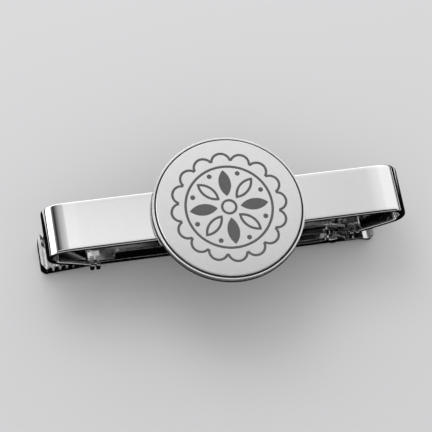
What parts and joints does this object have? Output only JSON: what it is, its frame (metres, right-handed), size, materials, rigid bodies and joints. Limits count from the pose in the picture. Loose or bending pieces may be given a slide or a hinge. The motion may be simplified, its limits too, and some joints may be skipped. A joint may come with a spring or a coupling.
{
  "type": "tie clip",
  "caption": "Sprung tie clip: folded polished bar with a round engraved medallion and a toothed lever that pivots on a clasp base.",
  "frame": {"origin": "middle of the medallion, at the height of the surface the clip lies on", "axes": "+X along the bar from the jaw's tip to the thumb tab, +Y across the bar, +Z out of the medallion's face"},
  "size_m": [0.0606, 0.025, 0.0149],
  "materials": {
    "polished_bar": "mirror polish on the folded bar",
    "polished_pad": "polished edge of the mounting pad",
    "polished_tray": "polished rim of the tray",
    "adhesive": "grey film, hidden under the face plate",
    "satin_face": "fine satin, almost even",
    "engraving": "dark grey, slightly mottled filling",
    "clasp_metal": "bright nickel on stamped sheet",
    "lever_metal": "bright nickel on stamped sheet",
    "pin_metal": "bright rounded heads",
    "spring_wire": "drawn spring wire"
  },
  "bodies": {
    "clip_body": {"front_bar": "polished_bar", "mounting_pad": "polished_pad", "medallion_tray": "polished_tray", "adhesive_film": "adhesive", "medallion_plate": "satin_face", "engraving_fill": "engraving", "clasp_base": "clasp_metal", "hinge_pin": "pin_metal", "torsion_spring": "spring_wire"},
    "jaw": {"jaw_lever": "lever_metal"}
  },
  "joints": [
    {"name": "jaw_hinge", "type": "hinge", "parent": "clip_body", "child": "jaw", "pos_m": [0.0186, 0.0009, 0.00319], "axis": [0, -1, 0], "range_deg": [0, 14], "stiffness_Nm_per_rad": 0.08, "springref_deg": -40.11, "deforming": ["torsion_spring"]}
  ]
}
